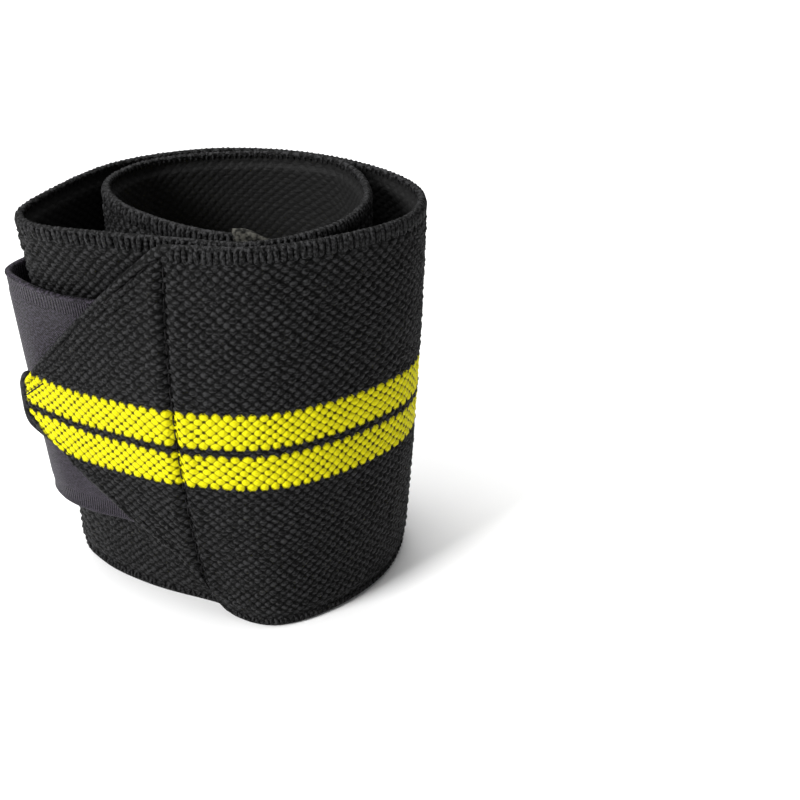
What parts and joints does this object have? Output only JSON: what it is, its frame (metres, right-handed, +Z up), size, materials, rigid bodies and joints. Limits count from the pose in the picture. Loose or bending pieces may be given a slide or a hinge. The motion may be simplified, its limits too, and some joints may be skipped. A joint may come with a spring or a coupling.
{
  "type": "wrist wrap",
  "caption": "Rolled elastic wrist wrap standing on its long edge: ribbed black band with bright yellow stripes, a pointed end and a hook-and-loop closing tab.",
  "frame": {"origin": "under the middle of the whole object's box, on the surface it stands on", "axes": "+Z up along the roll's axis, -Y towards the pictured front where the layers lie together, -X towards the pointed end and the closing tab"},
  "size_m": [0.079, 0.0616, 0.0809],
  "materials": {
    "striped_elastic": "heavy ribbed woven elastic, matt black with bright yellow stripes in the weave",
    "hook_tape": "woven back of hook tape, slightly shiny grey-purple nylon",
    "loop_tape": "napped loop tape, matt purple-black",
    "hem_thread": "lumpy overlocked thread, matt dark grey"
  },
  "bodies": {
    "root": {"elastic_band": "striped_elastic", "hook_tab": "hook_tape", "loop_patch": "loop_tape", "inner_end_hem": "hem_thread"}
  },
  "joints": []
}
